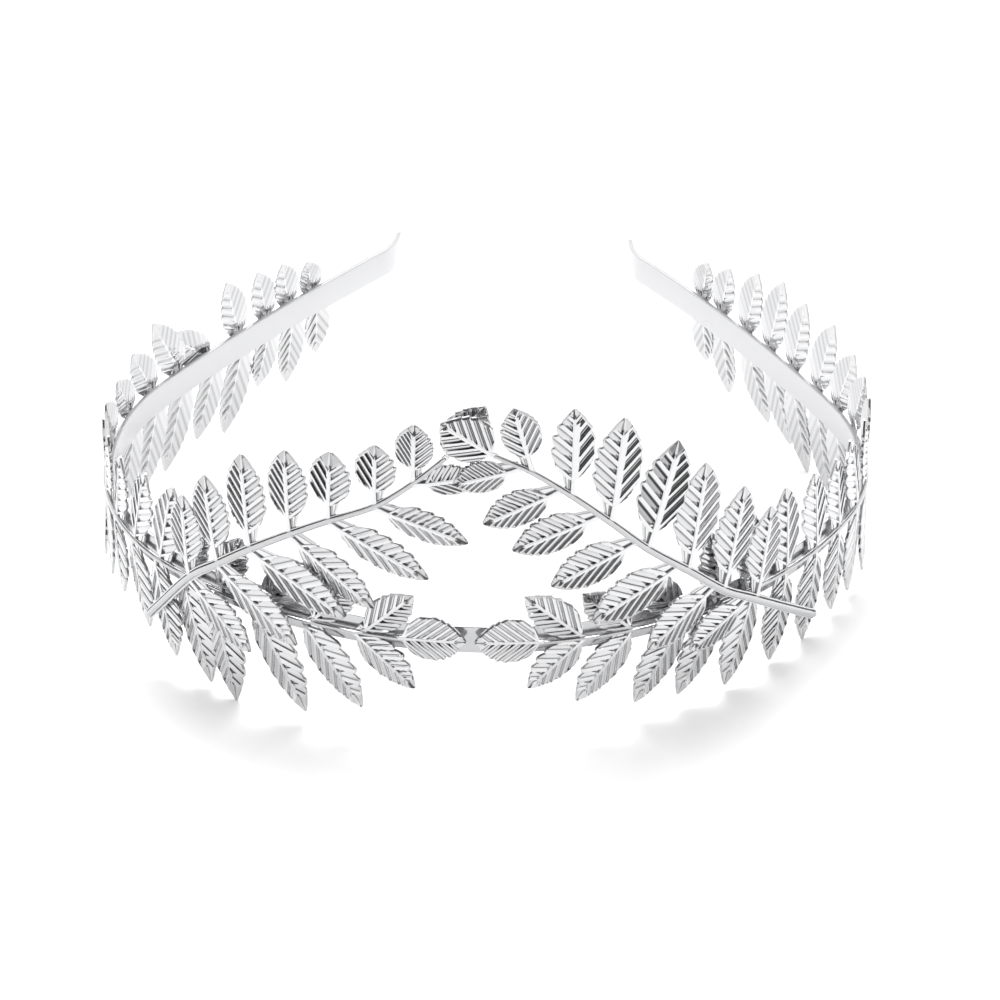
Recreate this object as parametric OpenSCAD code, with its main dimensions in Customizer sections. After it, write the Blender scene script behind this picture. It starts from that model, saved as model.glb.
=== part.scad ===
// Leaf headband: a thin flat band, bent round the head and open at the back,
// with four stamped sprays of ribbed leaves on its outside. Two long sprays
// run along the band, and two shorter ones cross over them at the sides and
// rise to a peak above the front.
// The left side of the wearer's view is -X, the front is -Y, and +Z is up.
// Standing on its leaf tips, as it stands on a table.

/* [Band] */
// Height of the flat strip
band_h = 5.5; // [4.5:0.5:6.5]
// Thickness of the strip
band_t = 0.8; // [0.7:0.1:1.1]
// Length of the straight part of each turned-out end
end_len = 3.8; // [3:0.2:6]
// Distance of the band's front from the middle of its plan
front_y = 60; // [58:0.5:62]

/* [Leaves] */
// Thickness of the stamped leaves
leaf_t = 0.5; // [0.4:0.05:0.6]
// How far a leaf's edges fall behind its middle rib
fold = 0.45; // [0.2:0.05:0.6]
// Width of all leaves against their drawn width
leaf_wide = 1; // [0.85:0.05:1.1]
// Length of the stalks of the leaves that stand up from the upper stems
stalk = 3.4; // [2.5:0.1:4.5]
// Length of the stalks of the leaves that hang from the upper stems
short_stalk = 2.4; // [2:0.1:3.4]
// Length of the stalks of the lower sprays' leaves
low_stalk = 1.3; // [1:0.1:2.4]
// Width of a leaf's stalk
stalk_w = 0.9; // [0.7:0.1:1.2]

/* [Stems] */
// Radius of the lower stems, at their back end
low_r = 0.65; // [0.6:0.05:0.75]
// Radius of the lower stems at the front
low_tip_r = 0.5; // [0.45:0.05:0.6]
// Radius of the upper stems, at their blunt end
high_r = 1; // [0.9:0.05:1.15]
// Radius of the upper stems at the peak
high_tip_r = 0.45; // [0.4:0.05:0.6]
// Gap left between one piece and the next
gap = 0.15; // [0.1:0.01:0.3]

/* [Stance] */
// Lean of the band to its right side when it stands on its leaf tips
lean_side = 2; // [0:0.1:4]
// Lean of the band to the back when it stands on its leaf tips
lean_back = 0.5; // [0:0.1:4]
// Height of the band's middle line above the table, at the plan's middle
ride_h = 20.15; // [15:0.01:25]
// Move to the right that centres the whole on the origin
shift_x = -0.06; // [-3:0.01:3]
// Move to the back that centres the whole on the origin
shift_y = -1.88; // [-6:0.01:6]

/* [Hidden] */

silver = [0.82, 0.83, 0.85];
LEFT = -1;
RIGHT = 1;

// Plan of the band from the middle of the front to its end, one row for each
// arc: radius, length. The strip is bent by hand, so its sides differ a little.
right_arcs = [[70, 80], [33, 32], [300, 60]];
left_arcs = [[80, 57], [41, 60], [450, 59]];
// The end turns outward: radius, length
end_arc = [9, 5.5];

// Upper sprays, one row for each pair of leaves from the peak down:
// distance along the band, height above the band's middle line,
// upper leaf's length, width and angle, lower leaf's length, width and angle.
// An angle is from level towards the front, and up is positive.
upper_right = [
    [10.0, 37.0, 13.4, 6.8,  76, 11.6, 6.4, -13],
    [16.5, 31.5, 17.6, 7.4,  91, 14.2, 7.2, -22],
    [23.0, 25.0, 21.0, 8.4,  96, 15.8, 7.6, -16],
    [29.5, 18.0, 21.5, 9.0, 104, 16.4, 8.2, -19],
    [37.0, 11.2, 21.5, 8.6,  98, 17.4, 8.8, -21],
    [44.0,  4.5, 20.5, 8.0, 101, 15.8, 8.0, -32],
    [51.0, -0.5, 18.4, 7.4,  99, 13.8, 7.4, -24],
];
upper_left = [
    [ 9.5, 33.0, 11.8, 6.6,  89, 11.6, 6.0,  15],
    [16.0, 27.5, 12.4, 7.2,  89, 17.0, 6.2, -15],
    [24.0, 23.0, 14.2, 7.4,  88, 19.6, 6.8, -22],
    [31.0, 18.5, 17.0, 7.4,  92, 19.0, 7.2, -33],
    [38.5, 13.0, 19.2, 7.6,  94, 20.4, 8.0, -20],
    [45.0,  7.5, 17.5, 7.6,  98, 19.6, 7.4, -31],
    [51.0,  2.0, 16.8, 7.0,  94, 16.6, 7.0, -34],
];
// Ends of the upper stems: distance along the band, height
upper_right_tip = [4.0, 40.6];
upper_left_tip = [4.2, 38.4];
upper_right_foot = [65.0, -11.0];
upper_left_foot = [60.5, -10.6];
// End leaf of each upper spray: length, width, angle
upper_right_end = [11.2, 9.0, 35];
upper_left_end = [12.8, 7.4, 58];

// Lower sprays, one row for each pair of leaves from the front to the back:
// distance along the band, upper leaf's length and angle, lower leaf's length
// and angle.
lower_right = [
    [ 19.5, 15.0, 44, 13.6, 42],
    [ 28.0, 13.5, 46, 16.4, 51],
    [ 37.5, 15.5, 52, 18.4, 61],
    [ 45.0, 15.4, 82, 18.6, 63],
    [ 52.0, 16.8, 86, 18.9, 71],
    [ 60.0, 17.8, 88, 18.2, 80],
    [ 68.5, 16.5, 87, 18.5, 82],
    [ 76.0, 15.5, 85, 17.0, 86],
    [ 83.5, 17.0, 76, 17.0, 82],
    [ 91.0, 16.5, 76, 17.0, 78],
    [ 99.0, 16.0, 74, 17.5, 74],
    [107.0, 16.0, 70, 17.5, 72],
    [113.5, 17.5, 68, 18.0, 72],
    [120.0, 17.8, 76, 18.5, 74],
    [128.0, 18.0, 77, 19.0, 70],
    [135.5, 17.8, 79, 17.2, 62],
    [143.0, 16.0, 77, 16.8, 62],
    [150.5, 12.0, 80, 15.0, 76],
    [156.0,  9.8, 84, 11.5, 80],
];
lower_left = [
    [ 18.7, 13.4, 46, 14.7, 40],
    [ 28.0, 13.2, 51, 19.0, 54],
    [ 37.5, 14.8, 54, 21.8, 62],
    [ 46.0, 13.8, 70, 22.5, 78],
    [ 53.0, 15.0, 80, 21.6, 74],
    [ 60.0, 18.0, 77, 19.0, 72],
    [ 67.5, 16.6, 77, 17.4, 73],
    [ 75.0, 16.0, 76, 14.6, 71],
    [ 83.0, 16.0, 72, 16.5, 76],
    [ 91.0, 14.5, 70, 17.5, 74],
    [ 99.0, 13.0, 64, 18.0, 72],
    [107.5, 12.0, 62, 18.5, 70],
    [115.0, 13.4, 63, 19.0, 70],
    [122.5, 16.4, 65, 19.5, 70],
    [131.0, 15.5, 40, 17.0, 68],
    [138.5, 14.5, 77, 19.5, 72],
    [146.0, 12.3, 80, 13.0, 66],
    [152.0, 11.3, 80, 15.6, 80],
    [158.0,  8.2, 84, 12.8, 88],
];
// Ends of the lower stems, as distances along the band
lower_tip = 13;
lower_foot = 163;
// End leaf of each lower spray: length, width, angle
lower_end = [12.6, 9, 4];

// Outline of a leaf's blade, one row for each section: distance along the
// blade, half of its width, both from 0 to 1
blade_rows = [[0, 0.16], [0.12, 0.68], [0.34, 0.98], [0.52, 1], [0.74, 0.80], [0.90, 0.46], [1, 0.06]];

// Distances of the stems from the band's middle line. The gap counts twice,
// because the leaves' folded edges come nearer to the next piece.
low_n = band_t/2 + 2*gap + low_r;
high_n = low_n + low_r + 2*gap + 1.15;
left_tip_n = 1.8;
right_tip_n = 3.9;

// A point, with its heading, after an arc of radius r and length l, which is
// straight where r is 0
function arc_on(p, r, l) = r == 0 ? [p[0] + l*cos(p[2]), p[1] + l*sin(p[2]), p[2]]
    : let (h = p[2] + l/r*180/PI) [p[0] + r*(sin(h) - sin(p[2])), p[1] - r*(cos(h) - cos(p[2])), h];
// Plan point and heading at distance s along rows of arcs
function along(rows, s, i = 0, p = [0, -front_y, 0]) =
    (i == len(rows) - 1 || s <= rows[i][1]) ? arc_on(p, rows[i][0], s)
    : along(rows, s - rows[i][1], i + 1, arc_on(p, rows[i][0], rows[i][1]));
// The same for either side: x, y, heading towards +X's side
function plan(side, s) = let (p = along(side == RIGHT ? right_arcs : left_arcs, s))
    [side*p[0], p[1], side*p[2]];
// A point outside the band: side, distance along it, height, distance out
function spot(side, s, z, n) = let (p = plan(side, s))
    [p[0] + n*sin(p[2]), p[1] - n*cos(p[2]), z];

// Stands the level headband on its leaf tips
module stand() {
    translate([shift_x, shift_y, ride_h]) rotate([-lean_back, lean_side, 0]) children();
}

// The strip's middle line on one side, through its arcs and its turned-out end
function strip_plan(side, s) = let (p = along(concat(side == RIGHT ? right_arcs : left_arcs,
    [[-end_arc[0], end_arc[1]], [0, end_len]]), s)) [side*p[0], p[1], side*p[2]];
function side_len(side) = let (a = side == RIGHT ? right_arcs : left_arcs) a[0][1] + a[1][1] + a[2][1];
function reversed(a) = [for (i = [len(a) - 1:-1:0]) a[i]];
// Sections along one side: distance along the strip, half of its height there.
// The last ones round the end off.
function strip_rows(side) = let (l = side_len(side), r = band_h/2, c = l + end_arc[1] + end_len - r) concat(
    [for (i = [1:1:54]) [i/54*l, r]],
    [for (i = [1:1:5]) [l + i/5*end_arc[1], r]],
    [for (a = [90, 75, 60, 45, 30, 18, 8]) [c + r*cos(a), r*sin(a)]]);
// The four corners of a section
function section(side, row) = let (p = strip_plan(side, row[0]), x = band_t/2*sin(p[2]), y = band_t/2*cos(p[2]))
    [[p[0] + x, p[1] - y, -row[1]], [p[0] + x, p[1] - y, row[1]],
     [p[0] - x, p[1] + y, row[1]], [p[0] - x, p[1] + y, -row[1]]];

module band() color(silver) stand() {
    corners = concat([for (r = reversed(strip_rows(LEFT))) section(LEFT, r)], [section(RIGHT, [0, band_h/2])],
        [for (r = strip_rows(RIGHT)) section(RIGHT, r)]);
    n = len(corners);
    polyhedron(points = [for (c = corners) each c], faces = concat([[3, 2, 1, 0]],
        [for (i = [0:1:n - 2]) for (j = [0:1:3]) let (k = (j + 1)%4) [4*i + j, 4*i + k, 4*i + 4 + k, 4*i + 4 + j]],
        [[4*n - 4, 4*n - 3, 4*n - 2, 4*n - 1]]), convexity = 6);
}

// A leaf along +X with its face to +Z: a stalk and a blade folded along its
// middle rib
module leaf(l, w, bare = stalk) {
    s = min(bare, 0.25*l);
    hull() {
        translate([0.1, 0, 0]) cube([0.2, stalk_w*1.5, 0.6], center = true);
        translate([s + 0.8, 0, 0]) cube([0.2, stalk_w*0.8, 0.46], center = true);
    }
    n = len(blade_rows);
    pts = [for (r = blade_rows) let (x = s + r[0]*(l - s), y = r[1]*w*leaf_wide/2, d = fold*r[1])
        each [[x, y, leaf_t/2 - d], [x, 0, leaf_t/2], [x, -y, leaf_t/2 - d],
              [x, -y, -leaf_t/2 - d], [x, 0, -leaf_t/2], [x, y, -leaf_t/2 - d]]];
    sides = [for (i = [0:1:n - 2]) for (j = [0:1:5]) let (k = (j + 1)%6)
        each [[6*i + j, 6*i + 6 + k, 6*i + k], [6*i + j, 6*i + 6 + j, 6*i + 6 + k]]];
    polyhedron(points = pts, faces = concat([[0, 1, 4, 5], [1, 2, 3, 4]], sides,
        [[6*n - 6, 6*n - 1, 6*n - 2, 6*n - 5], [6*n - 5, 6*n - 2, 6*n - 3, 6*n - 4]]), convexity = 6);
}

// Puts a leaf on the outside of the band: angle from level towards the front,
// and how far its tip stands out
module place(side, s, z, n, angle, out = 0) {
    p = plan(side, s);
    translate(spot(side, s, z, n)) rotate([90, 0, p[2]])
        rotate([0, 0, side == RIGHT ? 180 - angle : angle]) rotate([0, -out, 0]) children();
}

// A round stem through rows of: distance along the band, height, distance
// out, radius
module stem(side, rows) {
    k = 8;
    n = len(rows);
    at = [for (r = rows) spot(side, r[0], r[1], r[2])];
    rings = [for (i = [0:1:n - 1]) let (
            d = at[min(i + 1, n - 1)] - at[max(i - 1, 0)], h = plan(side, rows[i][0])[2],
            o = [sin(h), -cos(h), 0], m = cross(d, o)/norm(cross(d, o)), f = cross(m, d)/norm(cross(m, d)))
        for (j = [0:1:k - 1]) at[i] + rows[i][3]*(cos(360*j/k)*f + sin(360*j/k)*m)];
    sides = [for (i = [0:1:n - 2]) for (j = [0:1:k - 1]) let (b = (j + 1)%k)
        each [[k*i + j, k*i + k + b, k*i + b], [k*i + j, k*i + k + j, k*i + k + b]]];
    polyhedron(points = rings, faces = concat([[for (j = [0:1:k - 1]) j]], sides,
        [[for (j = [k - 1:-1:0]) k*(n - 1) + j]]), convexity = 10);
}

function blend_to(a, b, t) = a + (b - a)*t;
// A smooth curve from b to c, with a before and d after them
function curve(a, b, c, d, t) = 0.5*(2*b + (c - a)*t + (2*a - 5*b + 4*c - d)*t*t + (3*b - a - 3*c + d)*t*t*t);
// Width of a lower spray's leaf of length l
function low_width(l) = 4.8 + 0.12*l;

// One long spray along the band, with so many steps along its stem
module lower_spray(side, rows, down_back, steps) {
    stem(side, [for (i = [0:1:steps]) let (t = i/steps)
        [blend_to(lower_tip - 0.5, lower_foot, t), 0, low_n, blend_to(low_tip_r, low_r, min(1, 3*t))]]);
    place(side, lower_tip, 0, low_n, lower_end[2]) leaf(lower_end[0], lower_end[1], 1.5);
    for (r = rows) {
        place(side, r[0], 0, low_n, r[2]) leaf(r[1], low_width(r[1]), low_stalk);
        place(side, r[0] + down_back, 0, low_n, -r[4]) leaf(r[3], low_width(r[3]), low_stalk);
    }
}

// One short spray that rises from the side to the peak
module upper_spray(side, rows, tip, foot, end_leaf, tip_n, down_ahead) {
    nodes = concat([tip], [for (r = rows) [r[0], r[1]]], [foot]);
    last = len(nodes) - 1;
    function out_at(i) = i >= last - 1 ? high_n : blend_to(tip_n, high_n, i/(last - 1));
    function r_at(i) = blend_to(high_tip_r, high_r, pow(i/last, 0.8));
    stem(side, [for (i = [0:1:last]) for (j = [0:1:(i < last ? 3 : 0)]) let (
            a = nodes[max(i - 1, 0)], b = nodes[i], c = nodes[min(i + 1, last)], d = nodes[min(i + 2, last)],
            t = j/4, p = curve(a, b, c, d, t))
        [p[0], p[1], blend_to(out_at(i), out_at(min(i + 1, last)), t), r_at(i + t)]]);
    place(side, tip[0], tip[1], tip_n, end_leaf[2]) leaf(end_leaf[0], end_leaf[1], 0.8);
    for (i = [0:1:len(rows) - 1]) let (r = rows[i], n = out_at(i + 1), a = nodes[i]) {
        place(side, r[0], r[1], n, r[4]) leaf(r[2], r[3]);
        place(side, r[0] - down_ahead, blend_to(r[1], a[1], down_ahead/(r[0] - a[0])) - 0.5, n, r[7])
            leaf(r[5], r[6], short_stalk);
    }
}

module lower_spray_left() color(silver) stand() lower_spray(LEFT, lower_left, 1.5, 36);
module lower_spray_right() color(silver) stand() lower_spray(RIGHT, lower_right, 0, 46);
module upper_spray_left() color(silver) stand()
    upper_spray(LEFT, upper_left, upper_left_tip, upper_left_foot, upper_left_end, left_tip_n, 0);
module upper_spray_right() color(silver) stand()
    upper_spray(RIGHT, upper_right, upper_right_tip, upper_right_foot, upper_right_end, right_tip_n, 2);

band();
lower_spray_left();
lower_spray_right();
upper_spray_left();
upper_spray_right();
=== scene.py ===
import math

import bpy
import numpy as np
from mathutils import Matrix, Vector


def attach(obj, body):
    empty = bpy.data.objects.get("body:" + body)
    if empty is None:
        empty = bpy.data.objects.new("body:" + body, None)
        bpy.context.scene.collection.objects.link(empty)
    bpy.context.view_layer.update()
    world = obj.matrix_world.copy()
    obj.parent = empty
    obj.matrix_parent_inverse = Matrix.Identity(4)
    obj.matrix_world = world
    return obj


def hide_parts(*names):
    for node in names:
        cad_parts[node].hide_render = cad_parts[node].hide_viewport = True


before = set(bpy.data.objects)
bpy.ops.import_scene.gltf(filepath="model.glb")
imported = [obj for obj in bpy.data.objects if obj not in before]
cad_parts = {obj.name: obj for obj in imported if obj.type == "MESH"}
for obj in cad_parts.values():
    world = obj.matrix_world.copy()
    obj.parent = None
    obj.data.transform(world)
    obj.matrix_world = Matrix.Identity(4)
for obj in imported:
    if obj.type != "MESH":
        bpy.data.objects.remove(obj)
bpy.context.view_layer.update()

MM = 0.001
LEFT, RIGHT = -1, 1

# ---------------------------------------------------------------- sizes, in mm
BAND_H, BAND_T, END_LEN, FRONT_Y = 5.5, 0.8, 3.8, 60.0
LEAF_T, FOLD, STALK, SHORT_STALK, LOW_STALK = 0.42, 0.45, 3.4, 2.4, 1.3
LOW_R, LOW_TIP_R, HIGH_R, HIGH_TIP_R, GAP = 0.65, 0.5, 1.0, 0.45, 0.15
LEAN_SIDE, LEAN_BACK, RIDE_H, SHIFT_X, SHIFT_Y = 2.0, 0.5, 20.15, -0.06, -1.88
END_ARC = (9.0, 5.5)
LOW_N = BAND_T / 2 + 2 * GAP + LOW_R
HIGH_N = LOW_N + LOW_R + 2 * GAP + 1.15
LEFT_TIP_N, RIGHT_TIP_N = 1.8, 3.9
LOWER_TIP, LOWER_FOOT = 13.0, 163.0
LOWER_END = (12.6, 9.0, 4.0)

# Plan of the band from the middle of the front: radius, length
ARCS = {RIGHT: [(70, 80), (33, 32), (300, 60)], LEFT: [(80, 57), (41, 60), (450, 59)]}

# Upper sprays, from the peak down: distance along the band, height, upper leaf's length, width and
# angle, lower leaf's length, width and angle, then how dark the painted shade is, from 0 to 1, in the upper
# leaf's slots, hooks and panels and in the lower leaf's slots and hooks
UPPER_RIGHT = [
    (10.0, 37.0, 13.4, 6.8, 76, 11.6, 6.4, -13, 0.50, 0.50, 0.22, 0.50, 0.60),
    (16.5, 31.5, 17.6, 7.4, 91, 14.2, 7.2, -22, 0.92, 0.60, 0.21, 0.80, 0.80),
    (23.0, 25.0, 21.0, 8.4, 96, 15.8, 7.6, -16, 0.92, 0.78, 0.24, 0.85, 0.80),
    (29.5, 18.0, 21.5, 9.0, 104, 16.4, 8.2, -19, 0.95, 0.80, 0.80, 0.85, 0.85),
    (37.0, 11.2, 21.5, 8.6, 98, 17.4, 8.8, -21, 0.20, 0.65, 0.20, 0.75, 0.85),
    (44.0, 4.5, 20.5, 8.0, 101, 15.8, 8.0, -32, 0.20, 0.65, 0.20, 0.70, 0.90),
    (51.0, -0.5, 18.4, 7.4, 99, 13.8, 7.4, -24, 0.20, 0.60, 0.18, 0.70, 0.90),
]
UPPER_LEFT = [
    (9.5, 33.0, 11.8, 6.6, 89, 11.6, 6.0, 15, 0.60, 0.45, 0.27, 0.20, 0.95),
    (16.0, 27.5, 12.4, 7.2, 89, 17.0, 6.2, -15, 1.00, 0.44, 0.39, 0.22, 0.62),
    (24.0, 23.0, 14.2, 7.4, 88, 19.6, 6.8, -22, 1.00, 0.44, 0.39, 0.25, 0.62),
    (31.0, 18.5, 17.0, 7.4, 92, 19.0, 7.2, -33, 0.62, 0.55, 0.35, 0.40, 0.65),
    (38.5, 13.0, 19.2, 7.6, 94, 20.4, 8.0, -20, 0.72, 0.55, 0.35, 0.55, 0.60),
    (45.0, 7.5, 17.5, 7.6, 98, 19.6, 7.4, -31, 0.40, 0.45, 0.29, 0.45, 0.55),
    (51.0, 2.0, 16.8, 7.0, 94, 16.6, 7.0, -34, 0.30, 0.36, 0.18, 0.50, 0.55),
]
# Upper leaves whose cells aren't five over 0.8 of the blade: side, row, cells, ribbed part of the blade
OTHER_CELLS = {(LEFT, 1): (3, 0.68), (LEFT, 2): (3, 0.62), (RIGHT, 0): (5, 0.88), (RIGHT, 1): (4, 0.85)}
UPPER_RIGHT_TIP, UPPER_RIGHT_FOOT, UPPER_RIGHT_END = (4.0, 40.6), (65.0, -11.0), (11.2, 9.0, 35.0)
UPPER_LEFT_TIP, UPPER_LEFT_FOOT, UPPER_LEFT_END = (4.2, 38.4), (60.5, -10.6), (12.8, 7.4, 58.0)

# Lower sprays, from the front to the back: distance along the band, upper leaf's length and
# angle, lower leaf's length and angle, then the painted shade in the slots of the two leaves
LOWER_RIGHT = [
    (19.5, 15.0, 44, 13.6, 42, 0.50, 0.36), (28.0, 13.5, 46, 16.4, 51, 0.45, 0.20),
    (37.5, 15.5, 52, 18.4, 61, 0.45, 0.36), (45.0, 15.4, 82, 18.6, 63, 0.60, 0.44),
    (52.0, 16.8, 86, 18.9, 71, 0.60, 0.50), (60.0, 17.8, 88, 18.2, 80, 0.40, 0.60),
    (68.5, 16.5, 87, 18.5, 82, 0.18, 0.60), (76.0, 15.5, 85, 17.0, 86, 0.15, 0.55),
    (83.5, 17.0, 76, 17.0, 82, 0.15, 0.40), (91.0, 16.5, 76, 17.0, 78, 0.15, 0.22),
    (99.0, 16.0, 74, 17.5, 74, 0.15, 0.15), (107.0, 16.0, 70, 17.5, 72, 0.15, 0.15),
    (113.5, 17.5, 68, 18.0, 72, 0.15, 0.15), (120.0, 17.8, 76, 18.5, 74, 0.15, 0.15),
    (128.0, 18.0, 77, 19.0, 70, 0.15, 0.15), (135.5, 17.8, 79, 17.2, 62, 0.15, 0.15),
    (143.0, 16.0, 77, 16.8, 62, 0.15, 0.15), (150.5, 12.0, 80, 15.0, 76, 0.10, 0.10),
    (156.0, 9.8, 84, 11.5, 80, 0.05, 0.05),
]
LOWER_LEFT = [
    (18.7, 13.4, 46, 14.7, 40, 0.60, 0.20), (28.0, 13.2, 51, 19.0, 54, 0.50, 0.25),
    (37.5, 14.8, 54, 21.8, 62, 0.50, 0.29), (46.0, 13.8, 70, 22.5, 78, 0.60, 0.29),
    (53.0, 15.0, 80, 21.6, 74, 0.60, 0.40), (60.0, 18.0, 77, 19.0, 72, 0.40, 0.50),
    (67.5, 16.6, 77, 17.4, 73, 0.18, 0.45), (75.0, 16.0, 76, 14.6, 71, 0.15, 0.40),
    (83.0, 16.0, 72, 16.5, 76, 0.15, 0.30), (91.0, 14.5, 70, 17.5, 74, 0.15, 0.20),
    (99.0, 13.0, 64, 18.0, 72, 0.15, 0.15), (107.5, 12.0, 62, 18.5, 70, 0.15, 0.15),
    (115.0, 13.4, 63, 19.0, 70, 0.15, 0.15), (122.5, 16.4, 65, 19.5, 70, 0.15, 0.15),
    (131.0, 15.5, 40, 17.0, 68, 0.15, 0.15), (138.5, 14.5, 77, 19.5, 72, 0.15, 0.15),
    (146.0, 12.3, 80, 13.0, 66, 0.15, 0.15), (152.0, 11.3, 80, 15.6, 80, 0.10, 0.10),
    (158.0, 8.2, 84, 12.8, 88, 0.05, 0.05),
]

# Outline of a blade: distance along it, half of its width, both from 0 to 1
BLADE_ROWS = [(0, 0.16), (0.12, 0.68), (0.34, 0.99), (0.50, 0.99), (0.74, 0.76), (0.90, 0.39), (1, 0.05)]


# ------------------------------------------------------------- the band's plan
def arc_on(p, r, l):
    x, y, h = p
    if r == 0:
        return x + l * math.cos(h), y + l * math.sin(h), h
    g = h + l / r
    return x + r * (math.sin(g) - math.sin(h)), y - r * (math.cos(g) - math.cos(h)), g


def along(rows, s):
    p = (0.0, -FRONT_Y, 0.0)
    for i, (r, l) in enumerate(rows):
        if i == len(rows) - 1 or s <= l:
            return arc_on(p, r, s)
        p, s = arc_on(p, r, l), s - l


def plan(side, s, rows=None):
    x, y, h = along(rows or ARCS[side], s)
    return side * x, y, side * h


def spot(side, s, z, n):
    x, y, h = plan(side, s)
    return Vector((x + n * math.sin(h), y - n * math.cos(h), z))


def turn(axis, degrees):
    return Matrix.Rotation(math.radians(degrees), 4, axis)


STAND = Matrix.Translation((SHIFT_X, SHIFT_Y, RIDE_H)) @ turn("Y", LEAN_SIDE) @ turn("X", -LEAN_BACK)


def place(side, s, z, n, angle):
    """Where a leaf goes: +X along the leaf, +Z outward from the band."""
    h = plan(side, s)[2]
    return (Matrix.Translation(spot(side, s, z, n)) @ Matrix.Rotation(h, 4, "Z") @ turn("X", 90)
            @ turn("Z", 180 - angle if side == RIGHT else angle))


# -------------------------------------------------------------- mesh gathering
class Shape:
    """Collects closed shells, in mm, and turns them into one object."""

    def __init__(self):
        self.v, self.f, self.n, self.r = [], [], 0, []

    def add(self, verts, faces, m=None, painted_shade=None):
        """Adds one shell; its last argument says, from 0 to 1, how much painted shade each corner gets: near black
        painted into slots, pockets, grooves and edges, where shade falls.
        """
        verts = np.asarray(verts, float)
        self.r.append(np.zeros(len(verts)) if painted_shade is None else np.asarray(painted_shade, float))
        if m is not None:
            a = np.array(m)
            verts = verts @ a[:3, :3].T + a[:3, 3]
        self.v.append(verts)
        self.f.extend(tuple(i + self.n for i in f) for f in faces)
        self.n += len(verts)

    def build(self, name, material, crease=24):
        a = np.array(STAND)
        verts = (np.concatenate(self.v) @ a[:3, :3].T + a[:3, 3]) * MM
        mesh = bpy.data.meshes.new(name)
        mesh.from_pydata([tuple(p) for p in verts], [], self.f)
        mesh.materials.append(material)
        # this attribute carries each corner's painted shade to the material
        mesh.attributes.new("painted_shade", "FLOAT", "POINT").data.foreach_set("value", np.concatenate(self.r).astype(np.float32))
        for p in mesh.polygons:
            p.use_smooth = True
        mesh.set_sharp_from_angle(angle=math.radians(crease))
        obj = bpy.data.objects.new(name, mesh)
        bpy.context.scene.collection.objects.link(obj)
        return obj


def smooth(t):
    t = np.clip(t, 0, 1)
    return t * t * (3 - 2 * t)


def tube(rings, closed=True):
    """Faces of a skin over rings of equal length, with both ends closed."""
    n, k = len(rings), len(rings[0])
    faces = []
    for i in range(n - 1):
        for j in range(k):
            b = (j + 1) % k
            faces.append((k * i + j, k * i + b, k * i + k + b, k * i + k + j))
    faces.append(tuple(range(k - 1, -1, -1)))
    faces.append(tuple(k * (n - 1) + j for j in range(k)))
    return np.concatenate([np.asarray(r, float) for r in rings]), faces


# ---------------------------------------------------------------------- leaves
XS = np.array([r[0] for r in BLADE_ROWS], float)
WS = np.array([r[1] for r in BLADE_ROWS], float)


def slopes(x, y):
    d = np.diff(y) / np.diff(x)
    m = np.empty_like(y)
    m[0], m[-1] = d[0], d[-1]
    for i in range(1, len(y) - 1):
        m[i] = 0 if d[i - 1] * d[i] <= 0 else 2 / (1 / d[i - 1] + 1 / d[i])
    return m


MS = slopes(XS, WS)


def outline(t):
    """Half width of a blade at t along it, both from 0 to 1, as a smooth curve."""
    t = np.clip(t, 0, 1)
    i = np.clip(np.searchsorted(XS, t, side="right") - 1, 0, len(XS) - 2)
    h = XS[i + 1] - XS[i]
    u = (t - XS[i]) / h
    return ((2 * u**3 - 3 * u**2 + 1) * WS[i] + (u**3 - 2 * u**2 + u) * h * MS[i]
            + (-2 * u**3 + 3 * u**2) * WS[i + 1] + (u**3 - u**2) * h * MS[i + 1])


# Across one cell of a leaf, from a vein to the next one nearer the tip: place, height, painted shade,
# all from 0 to 1, and whether the painted shade is the cell's panel (1) or its slot (0). The half of a
# leaf away from the stem's tip has straight slots, the other one narrow lines that end in a pocket.
STRAIGHT = [
    (0, 1.0, 0, 0), (0.10, 1.0, 0, 0), (0.16, 0.25, 1, 0), (0.25, 0.10, 1, 0), (0.36, 0.22, 0.8, 0),
    (0.46, 0.62, 1, 1), (0.60, 0.80, 1, 1), (0.68, 0.50, 0.5, 0), (0.75, 0.88, 1, 1), (0.93, 1.0, 0, 0),
]
HOOKED = [
    (0, 1.0, 0, 0), (0.10, 1.0, 0, 0), (0.16, 0.45, 0.35, 0), (0.25, 0.50, 0.8, 1), (0.36, 0.64, 0.5, 1),
    (0.46, 0.70, 0.6, 1), (0.60, 0.68, 1.6, 1), (0.68, 0.30, 0.8, 0), (0.75, 0.80, 0.1, 0), (0.93, 1.0, 0, 0),
]
MARKS = [r[0] for r in STRAIGHT]
SLOT_ROWS = (2, 3, 4)
# How far the pocket at the inner end of a hooked lobe reaches across the leaf, by row of the cell
POCKET_ROWS = {2: 1.7, 3: 1.35, 4: 0.66}
TIP_ROWS = (0, 0.06, 0.25, 0.45, 0.65, 0.82, 0.93, 0.99)

# Section of a midrib: across, up (above 0) or down, painted shade
RIDGE = [(1.12, 0.1, 0.5), (1.02, 0.55, 0.2), (0.86, 0.95, 0), (0, 1.0, 0), (-0.86, 0.95, 0), (-1.02, 0.55, 0.2),
         (-1.12, 0.1, 0.5), (-0.9, -1.0, 0), (0.9, -1.0, 0)]


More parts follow.
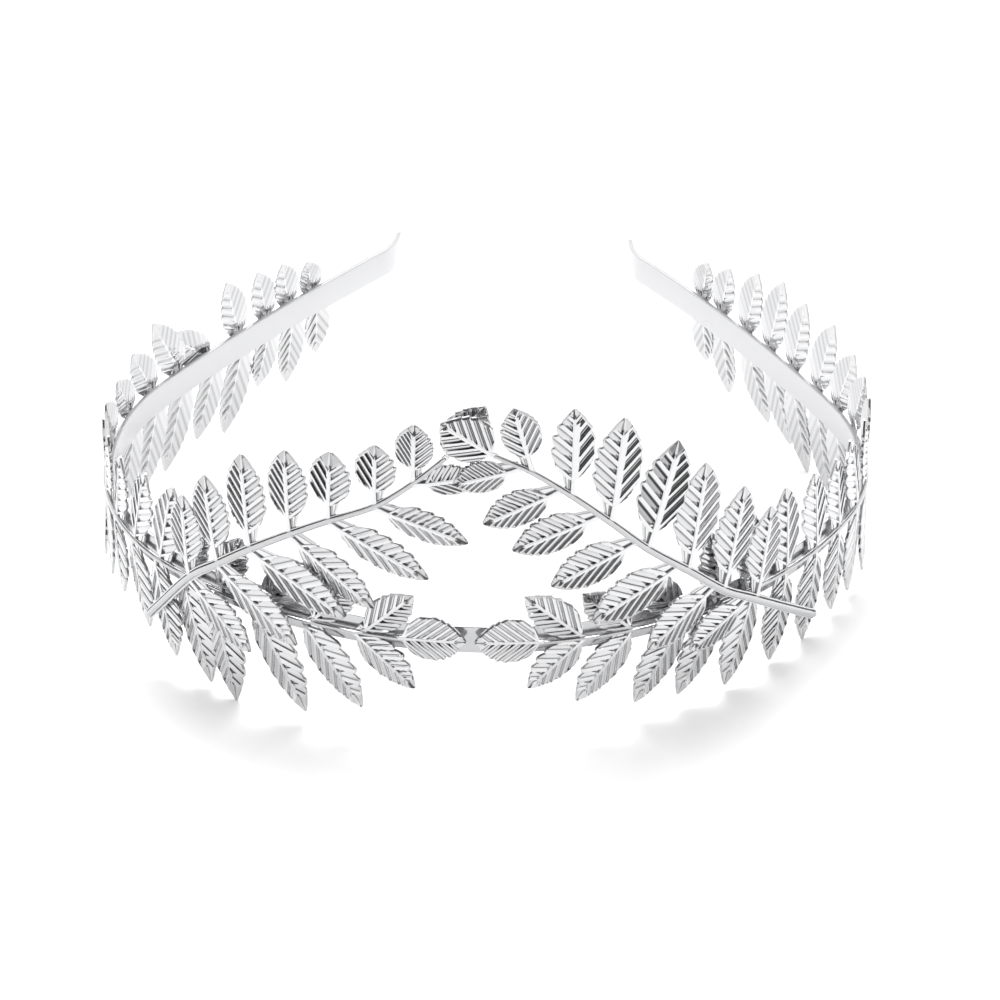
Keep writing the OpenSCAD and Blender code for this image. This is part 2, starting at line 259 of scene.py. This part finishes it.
def rib_lines(qs, blade, half, tan):
    """Start and end, across the leaf, of the lines that leave the midrib at qs."""
    xs = np.linspace(0, blade, 400)
    ws = outline(xs / blade) * half
    lines = []
    for q in qs:
        y_line = (xs - q) * tan
        inside = (y_line >= 0) & (y_line <= ws)
        if not inside.any():
            lines.append(None if q < 0 else (0.0, 0.02))
            continue
        k = np.nonzero(inside)[0]
        y0 = max(0.0, (xs[k[0]] - q) * tan) if q < 0 else 0.0
        y1 = (xs[k[-1]] - q) * tan
        if k[-1] < len(xs) - 1:
            a, b = k[-1], k[-1] + 1
            fa, fb = ws[a] - y_line[a], ws[b] - y_line[b]
            y1 = y_line[a] + fa / (fa - fb) * (y_line[b] - y_line[a])
        lines.append((y0, max(y1, 0.02)))
    return lines


def half_leaf(qs, kinds, lines, straight, blade, ribbed, pitch, half, deep, big, tone, tan, bend, inner, bold):
    """Rows of points on one side of the midrib: place, across, height and painted shade."""
    rows = STRAIGHT if straight else HOOKED
    bars, hooks, panel = tone
    slot_tone = bars if straight else hooks
    k = 1.0 if big else 0.78
    pts, keep, low, which = [], [], [], []
    for q, kind, line in zip(qs, kinds, lines):
        if line is None or (q < 0 and line[1] - line[0] < 0.12):
            continue
        y0, y1 = line
        tip = kind < 0
        if tip:
            u = (q - ribbed) / (blade - ribbed)
            first = float(smooth(u / 0.10))
            n = 7 if straight else 9
            ys = [0, min(0.10, 0.15 * y1), min(0.20 if straight else 0.34, 0.3 * y1)] + [y1 * f for f in ((0.45, 0.65, 0.85) if straight else (0.4, 0.5, 0.6, 0.72, 0.86))] + [y1]
            f = np.array(ys) / max(y1, 0.3)
            h = 1 + ((-0.6 + 1.2 * f) * (1 - 0.4 * u) - 1) * first
            near = (0.5, 0.15, 0.0) if straight else (0.5, 0.95, 0.75)
            d = np.array([v * slot_tone ** 0.5 for v in near] + [panel] * (n - 4) + [0.4])
            d = d * np.array([first] * (n - 1) + [1])
            ys = np.array(ys)
        else:
            t, top, dark, is_panel = rows[kind]
            # painted shade in this row: dark in the slots, grey over the panels
            d_in = dark * (panel if is_panel else slot_tone * (slot_tone if kind == (4 if straight else 7) else 1))
            if straight and kind == 5:
                d_in = max(d_in, 2 * bars - 1.2)
            if not straight and kind in SLOT_ROWS:
                d_in = max(d_in, bold)
            # a tooth to each rib
            step = 0.5 - t if t < 0.9 else -0.4 + 0.9 * (t - 0.9) / 0.1
            if not straight:
                step = 1.2 * math.sin(math.pi * ((t - 0.16) % 1.0)) ** 0.7 - 0.75
            room = float(smooth((y1 / half - 0.50) / 0.35)) if y0 == 0 else 0.0
            y1 = max(y0 + 0.02, y1 + (0.12 if straight else 0.18) * pitch * step * room)
            if straight:
                a = inner * k
                if kind in SLOT_ROWS:
                    a += 0.18 * k * (1 - math.sqrt(max(0.0, 1 - ((t - 0.26) / 0.11) ** 2)))
                else:
                    a += 0.18 * k
                e = 0.34 * k
                if y0 > 0 or y1 - a - e < 0.15:
                    ys = np.array([y0 + (y1 - y0) * f for f in (0, 0.10, 0.20, 0.5, 0.80, 0.88, 1)])
                else:
                    ys = np.array([0, a - 0.10, a, (a + y1 - e) / 2, y1 - e, y1 - e + 0.09, y1])
                h = np.array([1, 1, top, top, top, 1, 0.9])
                d = np.array([0, 0, d_in, d_in, d_in, 0, 0.4])
            else:
                a, b = 0.36 * k, 0.80 * k
                if y0 > 0 or y1 - b < 0.6:
                    ys = np.array([y0 + (y1 - y0) * f for f in (0, 0.10, 0.14, 0.30, 0.36, 0.6, 0.84, 0.92, 1)])
                else:
                    ys = np.array([0, a, a + 0.07, b, b + 0.12, (b + y1) / 2, y1 - 0.30 * k, y1 - 0.18 * k, y1])
                pocket = kind in POCKET_ROWS and y0 == 0
                if pocket:
                    b = min(POCKET_ROWS[kind] * k, 0.62 * y1)
                    ys[3:6] = b, b + 0.12, (b + 0.12 + ys[6]) / 2
                # the pocket at the inner end of a hooked lobe is painted dark: painted shade
                hp, dp = (-0.15, 1.0 * hooks) if pocket else (top, d_in)
                h = np.array([1, 1, hp, hp, top, top, top, 0.5 + 0.45 * top, 0.85])
                d = np.array([0, 0, dp, dp, d_in, d_in, d_in, 0.1, 0.4])
        x = q + ys / tan
        sheet = LEAF_T / 2 - FOLD * ys / half + bend(x)
        relief = deep * (h - 0.6)
        relief[-1] -= 0.10
        pts.append(np.stack([x, ys, sheet + relief, sheet - LEAF_T + UNDER_RELIEF * relief], 1))
        keep.append(q)
        low.append(d)
        which.append(kind)
    return np.array(pts), np.array(keep), np.array(low), which


UNDER = {7: (0, 2, 4, 6), 9: (0, 2, 3, 6, 8)}
# Painted shade on the back of a leaf by row of its cell, the last one for its tip
UNDER_TONE = (0.34, 0.44, 0.46, 0.42, 0.32, 0.22, 0.13, 0.13, 0.16, 0.26, 0.18)
UNDER_RELIEF = 0.5


def leaf(shape, m, l, w, bare, prox, cells, deep, rib=(38, 46), big=False, lean=0.0, bow=0.0, ribs=0.80,
         tone=(0.5, 0.5, 0.1), inner=0.36, bold=0.0):
    """One ribbed leaf along +X with its face to +Z. prox is the side, +1 or -1 in Y, with the
    straight slots."""
    s = min(bare, 0.25 * l)
    blade = l - s
    half = w / 2
    ribbed = ribs * blade
    pitch = ribbed / cells
    slope = math.tan(math.radians(lean))

    def bend(x):
        return -slope * (x + s) - bow * ((x + s) / l) ** 2

    qs = [((c + t) * pitch, i) for c in range(-3, cells) for i, t in enumerate(MARKS)]
    qs += [(ribbed + f * (blade - ribbed), -1) for f in TIP_ROWS]
    kinds = [q[1] for q in qs]
    qs = [q[0] for q in qs]
    verts, faces, index, corner_shade = [], [], {}, []

    def point(p, key, dark):
        if key not in index:
            index[key] = len(verts)
            verts.append(p)
            corner_shade.append(dark)
        return index[key]

    for side in (1, -1):
        straight = side == prox
        tan = math.tan(math.radians(rib[0] if straight else rib[1]))
        lines = rib_lines(qs, blade, half, tan)
        pts, keep, low, which = half_leaf(qs, kinds, lines, straight, blade, ribbed, pitch, half, deep, big, tone,
                                           tan, bend, inner, bold)
        pts[:, :, 0] += s
        pts[:, :, 1] *= side
        rows, cols = pts.shape[:2]
        under = UNDER[cols]
        ids = np.zeros((2, rows, cols), int)
        for i in range(rows):
            for j in range(cols):
                for b in (0, 1):
                    if b and j not in under:
                        continue
                    key = ("m", round(keep[i], 5), b) if j == 0 and keep[i] >= 0 else (side, i, j, b)
                    p = pts[i, j, [0, 1, 3 if b else 2]]
                    # painted shade on the back of the leaf, less of it near the stalk
                    back = (UNDER_TONE[which[i]] if 0 < j < cols - 1 else 0.13) * min(1.0, 0.25 + 2.5 * max(0.0, keep[i] / blade))
                    ids[b, i, j] = point(p, key, back if b else low[i, j])
        for i in range(rows - 1):
            for j in range(cols - 1):
                q = (ids[0, i, j], ids[0, i + 1, j], ids[0, i + 1, j + 1], ids[0, i, j + 1])
                faces.append(q if side > 0 else q[::-1])
            for j, j2 in zip(under[:-1], under[1:]):
                q = (ids[1, i, j], ids[1, i, j2], ids[1, i + 1, j2], ids[1, i + 1, j])
                faces.append(q if side > 0 else q[::-1])
            q = (ids[0, i, cols - 1], ids[0, i + 1, cols - 1], ids[1, i + 1, cols - 1], ids[1, i, cols - 1])
            faces.append(q if side > 0 else q[::-1])
            if keep[i + 1] <= 1e-9:
                q = (ids[0, i, 0], ids[1, i, 0], ids[1, i + 1, 0], ids[0, i + 1, 0])
                faces.append(q if side > 0 else q[::-1])
        for i in (0, rows - 1):
            q = [ids[0, i, j] for j in range(cols)] + [ids[1, i, j] for j in under[::-1]]
            faces.append(tuple(q if (side > 0) == (i == 0) else q[::-1]))
    shape.add(np.array(verts), faces, m, corner_shade)

    # stalk and midrib: one bar with a flat top
    tip_x = s + ribbed + 0.25 * (blade - ribbed)
    size = 0.88 if big else 0.76
    rings = []
    for x, wide, high, low in ((-0.2, 0.62, 0.10, -0.35), (0.7, 0.50, 0.24, -0.3), (s * 0.6, 0.44, 0.26, -0.28),
                               (s + 0.3, 0.42, 0.28, -0.25), (s + 0.25 * ribbed, 0.36, 0.28, -0.2),
                               (s + 0.5 * ribbed, 0.30, 0.27, -0.2), (s + 0.75 * ribbed, 0.24, 0.26, -0.2),
                               (s + ribbed, 0.19, 0.24, -0.15), (tip_x, 0.05, 0.02, -0.1)):
        z = -slope * x - bow * (x / l) ** 2
        up = high + deep * 0.4 * float(smooth((x - s * 0.5) / max(s * 0.5, 0.1)))
        rings.append([(x, y * wide * size, z + up * h if h > 0 else z - low * h) for y, h, _ in RIDGE])
    v, f = tube(rings)
    # painted shade along the midrib's lower edges
    shape.add(v, f, m, [r[2] for r in RIDGE] * len(rings))


def wing(shape, m, l, w, bare, toward, reach, join, tone):
    """Thin plate in the corner between a stalk, its stem and the blade. reach is its width at the stem."""
    s = min(bare, 0.25 * l)
    blade, half = l - s, w / 2
    end_y = 0.95 * float(outline(np.array(join))) * half
    verts, faces, dark = [], [], []
    rows = ((0.0, 0), (0.06, 0), (0.10, 1), (0.35, 1), (0.65, 1), (0.88, 1), (0.93, 0), (1.0, 0))
    for u, slot in rows:
        x = (s + join * blade) * u
        y1 = reach + (end_y - reach) * u + 0.12 * math.sin(math.pi * u)
        e = min(0.55, 0.30 * y1)
        ys = [0.25, 0.40, 0.46, 0.80, 0.86, max(0.9, y1 - e), max(0.93, y1 - e + 0.05), max(0.98, y1 - e + 0.17), max(1.0, y1 - e + 0.22), max(1.05, y1)]
        hs = [0, 0, -1, -1, 0, 0, -0.6, -0.6, 0, -0.3] if slot else [0, 0, 0, 0, 0, 0, -0.3, -0.3, 0, -0.3]
        # painted shade in the slot between the stalk and the plate and along its outer edge
        ds = [0, 0, 1, 1, 0, 0, 0.7, 0.7, 0, 0.4] if slot else [0, 0, 0, 0, 0, 0, 0.4, 0.4, 0, 0.4]
        for y, h, d in zip(ys, hs, ds):
            verts.append((x, y * toward, 0.10 - FOLD * y / half + 0.16 * h))
            dark.append(d * tone)
    cols, n = 10, len(rows)
    base = len(verts)
    for i in range(n):
        for j in (0, cols - 1):
            v = verts[i * cols + j]
            verts.append((v[0], v[1], v[2] - 0.36))
            dark.append(0.4 * tone if j else 0)
    for i in range(n - 1):
        for j in range(cols - 1):
            a = i * cols + j
            faces.append((a, a + cols, a + cols + 1, a + 1))
        a, b = i * cols + cols - 1, base + 2 * i + 1
        faces.append((a, a + cols, b + 2, b))
        faces.append((base + 2 * i, b, b + 2, base + 2 * i + 2))
        faces.append((i * cols, base + 2 * i, base + 2 * i + 2, i * cols + cols))
    faces.append(tuple([j for j in range(cols)] + [base + 1, base]))
    a = (n - 1) * cols
    faces.append(tuple([a + j for j in range(cols)][::-1] + [base + 2 * n - 2, base + 2 * n - 1]))
    if toward < 0:
        faces = [q[::-1] for q in faces]
    shape.add(verts, faces, m, dark)


# A stem's section, in radii: across, outward, painted shade. The flat crown has a groove and a thin
# flange on each side.
STEM = [
    (0, 0.80, 0.26), (0.30, 0.77, 0.24), (0.47, 0.68, 0.10), (0.56, 0.36, 0.4), (0.59, 0.12, 1), (0.73, 0.12, 1),
    (0.76, 0.30, 0), (0.93, 0.24, 0), (0.97, -0.04, 0.6), (0.80, -0.44, 0), (0.42, -0.66, 0), (0, -0.72, 0),
    (-0.42, -0.66, 0), (-0.80, -0.44, 0), (-0.97, -0.04, 0.6), (-0.93, 0.24, 0), (-0.76, 0.30, 0), (-0.73, 0.12, 1),
    (-0.59, 0.12, 1), (-0.56, 0.36, 0.4), (-0.47, 0.68, 0.18), (-0.30, 0.77, 0.26),
]


def stem(shape, side, rows, upper=0.8, lower=0.2):
    """upper and lower are how dark the painted shade is in the grooves above and below the crown."""
    at = [spot(side, r[0], r[1], r[2]) for r in rows]
    rings = []
    for i, r in enumerate(rows):
        d = at[min(i + 1, len(at) - 1)] - at[max(i - 1, 0)]
        h = plan(side, r[0])[2]
        out = Vector((math.sin(h), -math.cos(h), 0))
        across = d.cross(out).normalized()
        if across.z < 0:
            across = -across
        face = across.cross(d).normalized()
        if face.dot(out) < 0:
            face = -face
        rings.append([at[i] + r[3] * (x * across + y * face) for x, y, _ in STEM])
    i = len(at) - 1
    d = (at[i] - at[i - 1]).normalized()
    last = rings[-1]
    for step, k in ((0.45, 0.88), (0.80, 0.60), (0.95, 0.25)):
        rings.append([at[i] + (p - at[i]) * k + d * rows[-1][3] * step for p in last])
    if side == RIGHT:
        rings = [ring[::-1] for ring in rings]
    v, f = tube([[tuple(p) for p in ring] for ring in rings])
    # painted shade in the stem's grooves and flanges, darker on the upper side
    dark = [c if c < 0.3 else c * (upper if x > 0 else lower) for x, _, c in STEM]
    shape.add(v, f, None, (dark[::-1] if side == RIGHT else dark) * len(rings))


def blend_to(a, b, t):
    return a + (b - a) * t


def curve(a, b, c, d, t):
    """A smooth curve from b to c, with a before and d after them."""
    return 0.5 * (2 * b + (c - a) * t + (2 * a - 5 * b + 4 * c - d) * t * t + (3 * b - a - 3 * c + d) * t**3)


def low_width(l):
    return 4.8 + 0.12 * l


def lower_spray(name, side, rows, down_back, seed):
    rng = np.random.default_rng(seed)
    shape = Shape()
    steps = 150
    stem(shape, side, [(blend_to(LOWER_TIP - 0.5, LOWER_FOOT, i / steps), 0, LOW_N,
                        blend_to(LOW_TIP_R, LOW_R, min(1, 3 * i / steps))) for i in range(steps + 1)], 0.5, 0.3)
    prox_up = -1 if side == RIGHT else 1
    l, w, angle = LOWER_END
    leaf(shape, place(side, LOWER_TIP, 0, LOW_N, angle), l, w, 1.5, prox_up, 5, 0.26, tone=(0.55, 0.7, 0.15))
    for s, up_l, up_a, dn_l, dn_a, up_tone, dn_tone in rows:
        for at, l, a, prox, bars in ((s, up_l, up_a, prox_up, up_tone), (s + down_back, dn_l, -dn_a, -prox_up, dn_tone)):
            m = place(side, at, 0, LOW_N, a)
            # how dark the painted shade is in the hooks and panels; bold paints the slots black on the down leaves
            # under the upper sprays' feet
            hooks = min(0.9, 0.25 + bars) * float(rng.uniform(0.85, 1.1))
            cells = (5 if l > 15.4 else 4 if l > 12.9 else 3) + (s > 100) - (a > 0 and 58 < s < 95 and l > 15.4)
            deep = 0.26 if s > 60 else 0.46 if a > 0 and s > 25 else 0.34
            leaf(shape, m, l, low_width(l), LOW_STALK, prox, cells, deep * float(rng.uniform(0.85, 1.15)),
                 rib=(34, 46), lean=float(rng.uniform(-1.5, 1.5)), bow=float(rng.uniform(-0.3, 0.5)),
                 tone=(bars, hooks, 0.08 + 0.10 * bars), bold=0.95 if a < 0 and 55 < at < 80 else 0.0)
            wing(shape, m, l, low_width(l), LOW_STALK, -prox, 1.9, 0.15, hooks)
    return shape.build(name, leaf_metal)


def upper_spray(name, side, rows, tip, foot, end_leaf, tip_n, down_ahead):
    shape = Shape()
    nodes = [tip] + [(r[0], r[1]) for r in rows] + [foot]
    last = len(nodes) - 1

    def out_at(i):
        return HIGH_N if i >= last - 1 else blend_to(tip_n, HIGH_N, i / (last - 1))

    def r_at(i):
        return blend_to(HIGH_TIP_R, HIGH_R, (i / last) ** 0.8)

    path = []
    for i in range(last + 1):
        for j in range(8 if i < last else 1):
            a, b, c, d = (nodes[max(0, min(i + k, last))] for k in (-1, 0, 1, 2))
            t = j / 8
            path.append((curve(a[0], b[0], c[0], d[0], t), curve(a[1], b[1], c[1], d[1], t),
                         blend_to(out_at(i), out_at(min(i + 1, last)), t), r_at(i + t)))
    stem(shape, side, path)
    prox_up = -1 if side == RIGHT else 1
    rib, usual = ((38, 46), (5, 0.80)) if side == RIGHT else ((33, 46), (5, 0.74))
    l, w, angle = end_leaf
    leaf(shape, place(side, tip[0], tip[1], tip_n, angle), l, w, 0.8, prox_up, 4, 0.34, big=True, rib=rib,
         ribs=0.84, tone=(0.88, 0.85, 0.15) if side == RIGHT else (0.75, 0.6, 0.0), bold=0.85 if side == RIGHT else 0.2)
    for i, r in enumerate(rows):
        n, a = out_at(i + 1), nodes[i]
        m = place(side, r[0], r[1], n, r[4])
        cells, ribs = OTHER_CELLS.get((side, i), usual)
        leaf(shape, m, r[2], r[3], STALK, prox_up, cells, 0.40, big=True, rib=rib, ribs=ribs,
             tone=(r[8], r[9], r[10]), inner=0.85 if side == RIGHT and r[8] > 0.8 else 0.36)
        wing(shape, m, r[2], r[3], STALK, -prox_up, 0.75, 0.08, r[9])
        m = place(side, r[0] - down_ahead, blend_to(r[1], a[1], down_ahead / (r[0] - a[0])) - 0.5, n, r[7])
        leaf(shape, m, r[5], r[6], SHORT_STALK, -prox_up, 5, 0.36, big=True, rib=(34, 48), ribs=0.82,
             tone=(r[11], r[12], 0.13 + 0.06 * r[11]))
        wing(shape, m, r[5], r[6], SHORT_STALK, prox_up, 1.6, 0.13, r[12])
    return shape.build(name, leaf_metal)


# ------------------------------------------------------------------------ band
def band_piece():
    rings = []
    rad = 0.16

    def ring(side, s, hh, wave):
        rows = ARCS[side] + [(-END_ARC[0], END_ARC[1]), (0, END_LEN)]
        x, y, h = plan(side, s, rows)
        n = np.array([math.sin(h), -math.cos(h), 0.0])
        c = np.array([x, y, 0.0]) + n * wave
        t = BAND_T / 2
        hh = max(hh, 0.25)
        r = min(rad, hh * 0.6)
        pts = []
        for cx, cz, a0 in ((t - r, hh - r, 0), (-(t - r), hh - r, 90), (-(t - r), -(hh - r), 180), (t - r, -(hh - r), 270)):
            for da in (0, 30, 60, 90):
                a = math.radians(a0 + da)
                pts.append(c + n * (cx + r * math.cos(a)) + np.array([0, 0, cz + r * math.sin(a)]))
        return pts if side == RIGHT else pts

    def rows_of(side):
        l = sum(r[1] for r in ARCS[side])
        r = BAND_H / 2
        c = l + END_ARC[1] + END_LEN - r
        out = [(i / 150 * l, r) for i in range(1, 151)] + [(l + i / 10 * END_ARC[1], r) for i in range(1, 11)]
        return out + [(c + r * math.cos(math.radians(a)), r * math.sin(math.radians(a)))
                      for a in (90, 80, 70, 60, 50, 40, 30, 21, 13, 6)]

    def wave(side, s):
        return 0.05 * math.sin(s / 9.0 + side) + 0.03 * math.sin(s / 3.7 + 2 * side)

    for s, hh in reversed(rows_of(LEFT)):
        rings.append(ring(LEFT, s, hh, wave(LEFT, s) * min(1, s / 10)))
    rings.append(ring(RIGHT, 0, BAND_H / 2, 0))
    for s, hh in rows_of(RIGHT):
        rings.append(ring(RIGHT, s, hh, wave(RIGHT, s) * min(1, s / 10)))
    shape = Shape()
    v, f = tube(rings)
    # painted shade along the band's four rounded edges
    shape.add(v, [q[::-1] for q in f], None, [0, 0.18, 0.18, 0] * 4 * len(rings))
    return shape.build("band_strip", band_metal, crease=50)


# ------------------------------------------------------------------- materials
def metal(name, colour, rough, rough_far, bump, scale, wavy, shade_strength):
    """Bright plate: soft patches, fine polishing lines, small dents, and painted shade that takes the colour towards
    near black where a corner's shade attribute is set.
    """
    mat = bpy.data.materials.new(name)
    mat.use_nodes = True
    nt = mat.node_tree
    nt.nodes.clear()
    new = nt.nodes.new
    out = new("ShaderNodeOutputMaterial")
    bsdf = new("ShaderNodeBsdfPrincipled")
    coord = new("ShaderNodeTexCoord")
    patches = new("ShaderNodeTexNoise")
    patches.inputs["Scale"].default_value = 90
    patches.inputs["Detail"].default_value = 4
    fine = new("ShaderNodeTexNoise")
    fine.inputs["Scale"].default_value = scale
    fine.inputs["Detail"].default_value = 3
    nt.links.new(coord.outputs["Object"], patches.inputs["Vector"])
    nt.links.new(coord.outputs["Object"], fine.inputs["Vector"])
    ramp = new("ShaderNodeMapRange")
    ramp.inputs["From Min"].default_value = 0.35
    ramp.inputs["From Max"].default_value = 0.70
    ramp.inputs["To Min"].default_value = rough
    ramp.inputs["To Max"].default_value = rough_far
    nt.links.new(patches.outputs["Fac"], ramp.inputs["Value"])
    nt.links.new(ramp.outputs["Result"], bsdf.inputs["Roughness"])
    groove = new("ShaderNodeAttribute")
    groove.attribute_name = "painted_shade"
    vary = new("ShaderNodeMapRange")
    vary.inputs["From Min"].default_value = 0.3
    vary.inputs["From Max"].default_value = 0.7
    vary.inputs["To Min"].default_value = shade_strength * 0.95
    vary.inputs["To Max"].default_value = shade_strength
    nt.links.new(patches.outputs["Fac"], vary.inputs["Value"])
    shade_amount = new("ShaderNodeMath")
    shade_amount.operation = "MULTIPLY"
    nt.links.new(groove.outputs["Fac"], shade_amount.inputs[0])
    nt.links.new(vary.outputs["Result"], shade_amount.inputs[1])
    # painted shade: the base colour is mixed towards near black by the shade attribute, standing in for shade in slots,
    # pockets, grooves and edges
    mix = new("ShaderNodeMix")
    mix.data_type = "RGBA"
    mix.inputs[6].default_value = (*colour, 1)
    mix.inputs[7].default_value = (colour[0] * 0.035, colour[1] * 0.035, colour[2] * 0.037, 1)
    nt.links.new(shade_amount.outputs["Value"], mix.inputs[0])
    nt.links.new(mix.outputs[2], bsdf.inputs["Base Color"])
    bsdf.inputs["Metallic"].default_value = 0.85
    waves = new("ShaderNodeTexNoise")
    waves.inputs["Scale"].default_value = 420
    waves.inputs["Detail"].default_value = 1
    nt.links.new(coord.outputs["Object"], waves.inputs["Vector"])
    soft = new("ShaderNodeBump")
    soft.inputs["Strength"].default_value = wavy
    soft.inputs["Distance"].default_value = 0.0001
    nt.links.new(waves.outputs["Fac"], soft.inputs["Height"])
    b = new("ShaderNodeBump")
    b.inputs["Strength"].default_value = bump
    b.inputs["Distance"].default_value = 0.00003
    nt.links.new(fine.outputs["Fac"], b.inputs["Height"])
    nt.links.new(soft.outputs["Normal"], b.inputs["Normal"])
    nt.links.new(b.outputs["Normal"], bsdf.inputs["Normal"])
    nt.links.new(bsdf.outputs["BSDF"], out.inputs["Surface"])
    return mat


leaf_metal = metal("leaf_metal", (0.685, 0.685, 0.695), 0.06, 0.16, 0.5, 1500, 0.8, 1.0)
band_metal = metal("band_metal", (0.545, 0.545, 0.555), 0.16, 0.28, 0.35, 900, 0.05, 0.6)

# ---------------------------------------------------------------------- pieces
band = band_piece()
parts = [
    (band, "band", "band_metal"),
    (lower_spray("lower_leaves_left", LEFT, LOWER_LEFT, 1.5, 11), "lower_spray_left", "leaf_metal"),
    (lower_spray("lower_leaves_right", RIGHT, LOWER_RIGHT, 0.0, 12), "lower_spray_right", "leaf_metal"),
    (upper_spray("upper_leaves_left", LEFT, UPPER_LEFT, UPPER_LEFT_TIP, UPPER_LEFT_FOOT, UPPER_LEFT_END,
                 LEFT_TIP_N, 0), "upper_spray_left", "leaf_metal"),
    (upper_spray("upper_leaves_right", RIGHT, UPPER_RIGHT, UPPER_RIGHT_TIP, UPPER_RIGHT_FOOT, UPPER_RIGHT_END,
                 RIGHT_TIP_N, 2), "upper_spray_right", "leaf_metal"),
]
for obj, node, slot in parts:
    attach(obj, "root")
    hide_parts(node)

# ----------------------------------------------------------------------- stage
mesh = bpy.data.meshes.new("floor")
mesh.from_pydata([(-3, -3, 0), (3, -3, 0), (3, 3, 0), (-3, 3, 0)], [], [(0, 1, 2, 3)])
floor = bpy.data.objects.new("floor", mesh)
bpy.context.scene.collection.objects.link(floor)
mat = bpy.data.materials.new("floor")
mat.use_nodes = True
nt = mat.node_tree
bsdf = nt.nodes["Principled BSDF"]
bsdf.inputs["Roughness"].default_value = 0.8
noise = nt.nodes.new("ShaderNodeTexNoise")
noise.inputs["Scale"].default_value = 30
ramp = nt.nodes.new("ShaderNodeMapRange")
ramp.inputs["To Min"].default_value = 0.93
ramp.inputs["To Max"].default_value = 0.95
nt.links.new(noise.outputs["Fac"], ramp.inputs["Value"])
comb = nt.nodes.new("ShaderNodeCombineColor")
for i in range(3):
    nt.links.new(ramp.outputs["Result"], comb.inputs[i])
nt.links.new(comb.outputs["Color"], bsdf.inputs["Base Color"])
mesh.materials.append(mat)

# ----------------------------------------------------------------------- light
world = bpy.data.worlds.new("studio")
bpy.context.scene.world = world
world.use_nodes = True
nt = world.node_tree
nt.nodes.clear()
new = nt.nodes.new
out = new("ShaderNodeOutputWorld")
back = new("ShaderNodeBackground")
coord = new("ShaderNodeTexCoord")
# a pale tent, open towards the viewer, where the room is dark
dot = new("ShaderNodeVectorMath")
dot.operation = "DOT_PRODUCT"
e = math.radians(20)
dot.inputs[1].default_value = (0.0, -math.cos(e), math.sin(e))
nt.links.new(coord.outputs["Generated"], dot.inputs[0])
opening = new("ShaderNodeValToRGB")
stops = opening.color_ramp
stops.interpolation = "EASE"
stops.elements[0].position, stops.elements[1].position = 0.56, 1.0
stops.elements[0].color, stops.elements[1].color = (1, 1, 1, 1), (0.02, 0.02, 0.02, 1)
for at, value in ((0.72, 0.60), (0.86, 0.10)):
    stops.elements.new(at).color = (value, value, value, 1)
nt.links.new(dot.outputs["Value"], opening.inputs["Fac"])
nt.links.new(opening.outputs["Color"], back.inputs["Color"])
back.inputs["Strength"].default_value = 1.305
nt.links.new(back.outputs["Background"], out.inputs["Surface"])


def panel(name, at, to, size, power):
    light = bpy.data.lights.new(name, "AREA")
    light.shape = "RECTANGLE"
    light.size, light.size_y = size
    light.energy = power
    o = bpy.data.objects.new(name, light)
    bpy.context.scene.collection.objects.link(o)
    o.location = at
    o.rotation_euler = (Vector(to) - Vector(at)).to_track_quat("-Z", "Y").to_euler()
    return o


panel("softbox", (0.0, 0.16, 0.54), (0, 0, 0), (0.30, 0.30), 2.05)
panel("back_light", (0.0, 0.36, 0.50), (0, 0, 0), (0.40, 0.40), 0.5)

# ---------------------------------------------------------------------- camera
EL, AZ, ROLL = math.radians(34.5), math.radians(2.58), math.radians(0.25)
DIST, TARGET, FOCAL = 1100.0, Vector((2.21, 0.0, -12.17)), 5.521 * 1100.0
right = Vector((math.cos(AZ), math.sin(AZ), 0))
ahead = Vector((-math.sin(AZ) * math.cos(EL), math.cos(AZ) * math.cos(EL), -math.sin(EL)))
up = Vector((-math.sin(AZ) * math.sin(EL), math.cos(AZ) * math.sin(EL), math.cos(EL)))
right, up = (math.cos(ROLL) * right + math.sin(ROLL) * up, math.cos(ROLL) * up - math.sin(ROLL) * right)
cam = bpy.data.cameras.new("camera")
cam.sensor_fit = "HORIZONTAL"
cam.sensor_width = 36.0
cam.lens = 36.0 * FOCAL / 1000.0
cam.clip_start, cam.clip_end = 0.05, 20
camera = bpy.data.objects.new("camera", cam)
bpy.context.scene.collection.objects.link(camera)
turned = STAND.to_3x3() @ Matrix((right, up, -ahead)).transposed()
where = STAND @ (TARGET - DIST * ahead)
camera.matrix_world = Matrix.Translation(where * MM) @ turned.to_4x4()
bpy.context.scene.camera = camera

view = bpy.context.scene.view_settings
view.view_transform = "Standard"
view.look = "None"
view.exposure = 0.0
view.gamma = 1.0
